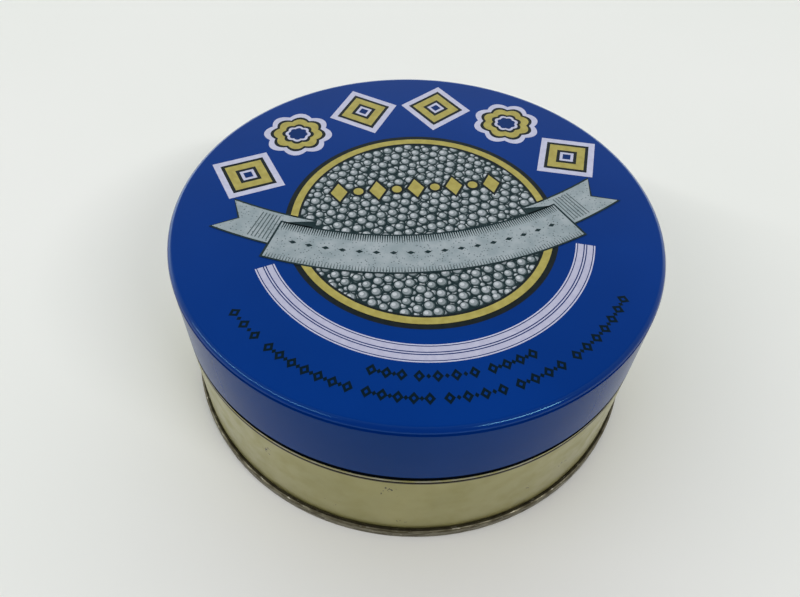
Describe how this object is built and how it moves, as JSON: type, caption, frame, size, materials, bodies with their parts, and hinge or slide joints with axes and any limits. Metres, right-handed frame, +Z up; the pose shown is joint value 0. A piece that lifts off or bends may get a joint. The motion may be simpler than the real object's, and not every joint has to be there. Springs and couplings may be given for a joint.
{
  "type": "caviar tin",
  "caption": "Round shut slip-lid food tin: printed lid with a deep skirt over a gold can body, double-seamed at the bottom.",
  "frame": {"origin": "centre of the tin's footprint, on the surface it stands on", "axes": "+Z up along the tin's axis; +Y towards the top of the print on the lid"},
  "size_m": [0.122, 0.122, 0.05],
  "materials": {
    "lid_lacquer": "glossy blue printed lacquer on tinplate",
    "gold_lacquer": "satin gold lacquer on tinplate, lightly scratched",
    "seam_metal": "worn tinplate"
  },
  "bodies": {
    "root": {"lid": "lid_lacquer", "can": "gold_lacquer", "bottom_end": "seam_metal"}
  },
  "joints": []
}
